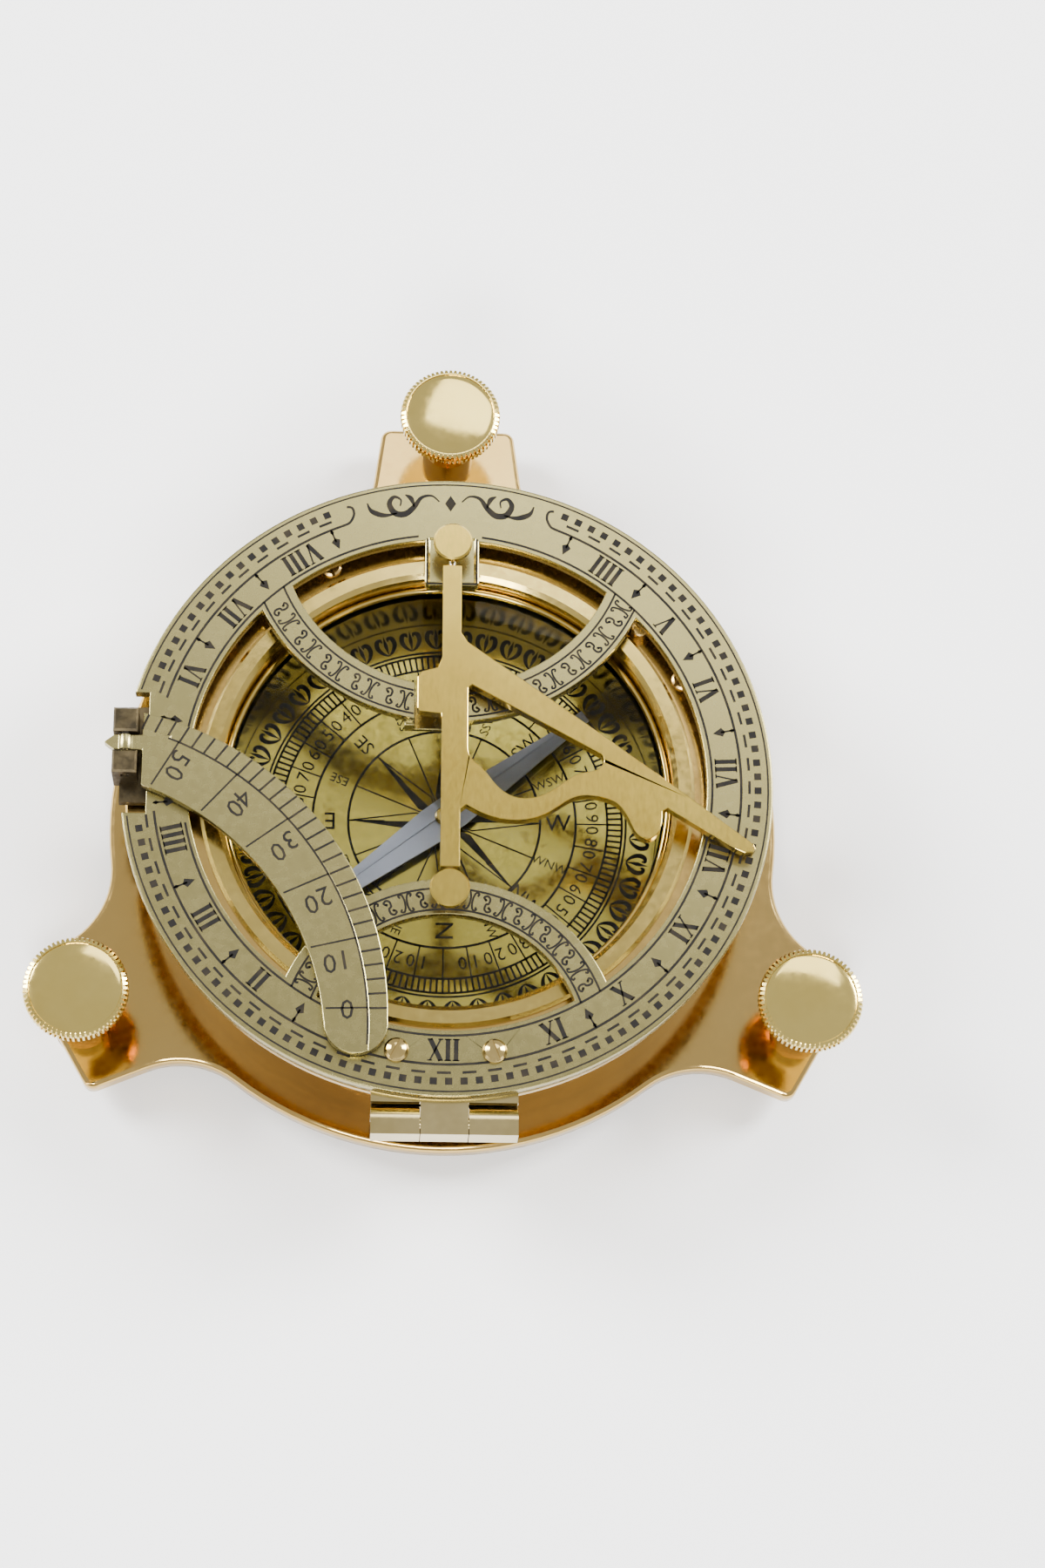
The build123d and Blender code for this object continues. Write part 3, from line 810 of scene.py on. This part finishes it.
def bridge_scroll(motif):
    """S scroll with round ends and a back-to-back pair of curls, X pointing across the band."""
    s_line = smooth([(0.55, 0.62), (0.9, 0.95), (1.2, 0.5), (0.85, 0.05), (0.1, 0.1), (-0.1, 0.5),
                     (-0.85, 0.55), (-1.2, 0.1), (-0.9, -0.35), (-0.55, -0.02)], 3)
    motif.stroke([(x, y - 1.45) for x, y in s_line], 0.24)
    for x, y in ((0.55, -0.83), (-0.55, -1.47)):
        motif.patch([(x - 0.26, y), (x, y + 0.26), (x + 0.26, y), (x, y - 0.26)])
    for side in (1, -1):
        half_bow = [(0.85, 0.72), (1.2, 0.95), (1.3, 0.45), (0.6, 0.2), (0.0, 0.16), (-0.6, 0.2),
                    (-1.3, 0.45), (-1.2, 0.95), (-0.85, 0.72)]
        motif.stroke(smooth([(x, side * y + 1.2) for x, y in half_bow], 3), 0.22)


for name, centre, radius, count, first, step in (
        ("upper_west", upper_centre, 28.5, 5, -148.8, 10.8),
        ("upper_east", upper_centre, 28.5, 6, -80.2, 10.3),
        ("lower", lower_centre, 22.1, 11, 28.4, 12.32)):
    cut_round("bridge_scrolls_" + name, bridge_scroll, ring_top, count, first, step, radius,
              "hour_ring_body", centre)

# ---- Gnomon, its posts and pins -----------------------------------------------
# Gnomon sawn from thick plate, its face drawn with a fine file and its edges
# bright; it turns on two steel pins in flat-headed posts.

gnomon_brass = metal("gnomon_brass", (0.56, 0.41, 0.085), (0.48, 0.34, 0.065), 0.17, 0.24,
                     patch=50.0, brush=(3000.0, 900.0, 3000.0), bump=0.03,
                     stain=(0.40, 0.27, 0.07), stain_from=0.68)
finish_node("gnomon", gnomon_brass)
soften("gnomon", 0.13)
finish_node("gnomon_posts", gnomon_brass)
finish_node("gnomon_pins", bright_steel)

# ---- Latitude arc, its bracket and pin ----------------------------------------
# Quarter arc of sheet brass with a thinner graduated border; it folds on a steel
# pin between two ears that are soldered under the ring, coloured near black as painted shade.

# painted shade: the bracket's ears under the ring are coloured near black
dark_brass = metal("dark_brass", (0.11, 0.085, 0.045), (0.04, 0.032, 0.02), 0.3, 0.5,
                   patch=300.0, bump=0.5)
finish_node("latitude_arc", satin_brass)
soften("latitude_arc", 0.13)
finish_node("arc_bracket", dark_brass)
finish_node("arc_pin", bright_steel)
arc_top = ring_top + 2.05
border_top = arc_top - 0.35
arc_centre, scale_r = (-57.4, -38.38), 46.41
outer_centre, outer_r = (-54.62, -36.39), 46.35
inner_centre, inner_r = (-58.88, -41.45), 41.64
mark_centre = (-62.8, -36.9)    # all the marks point to it
mark_first, mark_tens = 1.7, 11.7    # turn of the 0 mark, and the turn for ten degrees
border_end_x = -44.2


def on_circle(centre, radius, start, turn):
    """Where a line from start in a direction meets a circle."""
    dx, dy = math.cos(math.radians(turn)), math.sin(math.radians(turn))
    px, py = start[0] - centre[0], start[1] - centre[1]
    b = px * dx + py * dy
    t = -b + math.sqrt(b * b - (px * px + py * py - radius * radius))
    return (start[0] + dx * t, start[1] + dy * t)


plain_band = Cut(arc_top)
border = Cut(border_top)
plain_band.circle(scale_r - 0.12, 0.22, -3.0, 69.0, arc_centre)
for k in range(32):
    # a short mark every two degrees, a long one too at every ten up to fifty
    turn = mark_first + mark_tens * k / 5
    inner_end = on_circle(arc_centre, scale_r + 0.02, mark_centre, turn)
    outer_end = on_circle(outer_centre, outer_r - 0.1, mark_centre, turn)
    if outer_end[0] > border_end_x:
        border.stroke([inner_end, outer_end], 0.24)
    if k % 5 == 0 and k <= 25:
        band_in = on_circle(inner_centre, inner_r + 0.5, mark_centre, turn)
        band_out = on_circle(arc_centre, scale_r - 0.05, mark_centre, turn)
        plain_band.stroke([band_in, band_out], 0.2)
figures = (("5", -39.1, 1.8, 58.5), ("0", -39.9, -0.5, 57.8), ("4", -29.8, -4.1, 44.8),
           ("0", -30.9, -5.7, 44.4), ("3", -22.9, -10.4, 33.5), ("0", -24.5, -12.2, 32.8),
           ("2", -17.7, -18.8, 21.9), ("0", -19.5, -20.0, 21.4), ("1", -14.7, -28.2, 10.3),
           ("0", -16.7, -28.8, 9.9), ("0", -14.1, -35.5, 1.7))
for text, x, y, turn in figures:
    plain_band.word(text, 2.9, (x, y), turn + 180)
plain_band.piece("arc_figures", engraving, "latitude_arc_body")
border.piece("arc_ticks", engraving, "latitude_arc_body")

# ---- Levelling screws and their feet ------------------------------------------
# Turned brass screws with a milled head, polished on top, on small swivel pads
# that stand on the table.

knob_brass = metal("knob_brass", (0.72, 0.57, 0.18), (0.64, 0.48, 0.13), 0.07, 0.14,
                   patch=40.0)


def lathe(profile, steps=96):
    """Closed turned shape in mm about Z from (radius, height) points, poles merged."""
    shape = bmesh.new()
    rows = []
    for radius, z in profile:
        if radius < 1e-6:
            rows.append([shape.verts.new((0, 0, z))])
        else:
            rows.append([shape.verts.new((*point_at(radius, 360 * k / steps), z))
                         for k in range(steps)])
    for p, q in zip(rows, rows[1:]):
        for k in range(steps):
            j = (k + 1) % steps
            ring_of = [p[k % len(p)], p[j % len(p)], q[j % len(q)], q[k % len(q)]]
            corners = list(dict.fromkeys(ring_of))
            if len(corners) > 2:
                shape.faces.new(corners)
    bmesh.ops.recalc_face_normals(shape, faces=shape.faces)
    for face in shape.faces:
        face.smooth = True
    made = bpy.data.meshes.new("turned")
    shape.to_mesh(made)
    shape.free()
    return made


screw_profile = [(0, 0.7), (1.6, 0.7), (1.6, 2.45), (2.8, 2.9), (2.8, 19.55), (3.1, 19.8),
                 (6.5, 19.8), (6.9, 19.95), (7.15, 20.35), (7.2, 20.9), (7.2, 21.7),
                 (7.15, 22.05), (6.95, 22.25), (6.6, 22.4), (5.8, 22.52), (4.6, 22.64),
                 (3.2, 22.73), (1.6, 22.78), (0, 22.8)]
tooth_profile = [(-0.35, 19.98), (0.28, 20.3), (0.42, 20.6), (0.42, 22.0), (0.28, 22.25),
                 (-0.35, 22.52)]
milled_r, teeth = 7.2, 64


def tooth_mesh():
    """One tooth of the milled edge: a wedge with sloped ends, X away from the centre."""
    root, root_half, tip_half = -0.5, 0.30, 0.16
    shape = bmesh.new()
    rows = []
    for reach, z in tooth_profile:
        half = root_half if reach < 0 else tip_half
        rows.append([shape.verts.new((x, y, z)) for x, y in
                     ((root, -root_half), (reach, -half), (reach, half), (root, root_half))])
    for p, q in zip(rows, rows[1:]):
        for k in range(4):
            j = (k + 1) % 4
            shape.faces.new((p[k], p[j], q[j], q[k]))
    shape.faces.new(rows[0][::-1])
    shape.faces.new(rows[-1])
    bmesh.ops.recalc_face_normals(shape, faces=shape.faces)
    made = bpy.data.meshes.new("tooth")
    shape.to_mesh(made)
    shape.free()
    made.transform(Matrix.Scale(MM, 4))
    return made


for name in ("back", "left", "right"):
    low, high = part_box("level_screw_" + name)
    middle = (low + high) / 2
    body = "level_screw_" + name + "_body"
    turned = lathe(screw_profile)
    turned.name = "turned_screw_" + name
    turned.transform(Matrix.Translation((middle.x, middle.y, 0)) @ Matrix.Scale(MM, 4))
    turned.materials.append(knob_brass)
    add_piece("turned_screw_" + name, turned, body, ["level_screw_" + name])
    spot = (middle.x / MM, (middle.y - bowl_y) / MM)
    edge = set_round("milled_edge_" + name, tooth_mesh(), teeth, 0, 360 / teeth, milled_r, spot,
                     knob_brass)
    add_piece("milled_edge_" + name, edge, body)
    finish_node("foot_" + name, plain_brass)
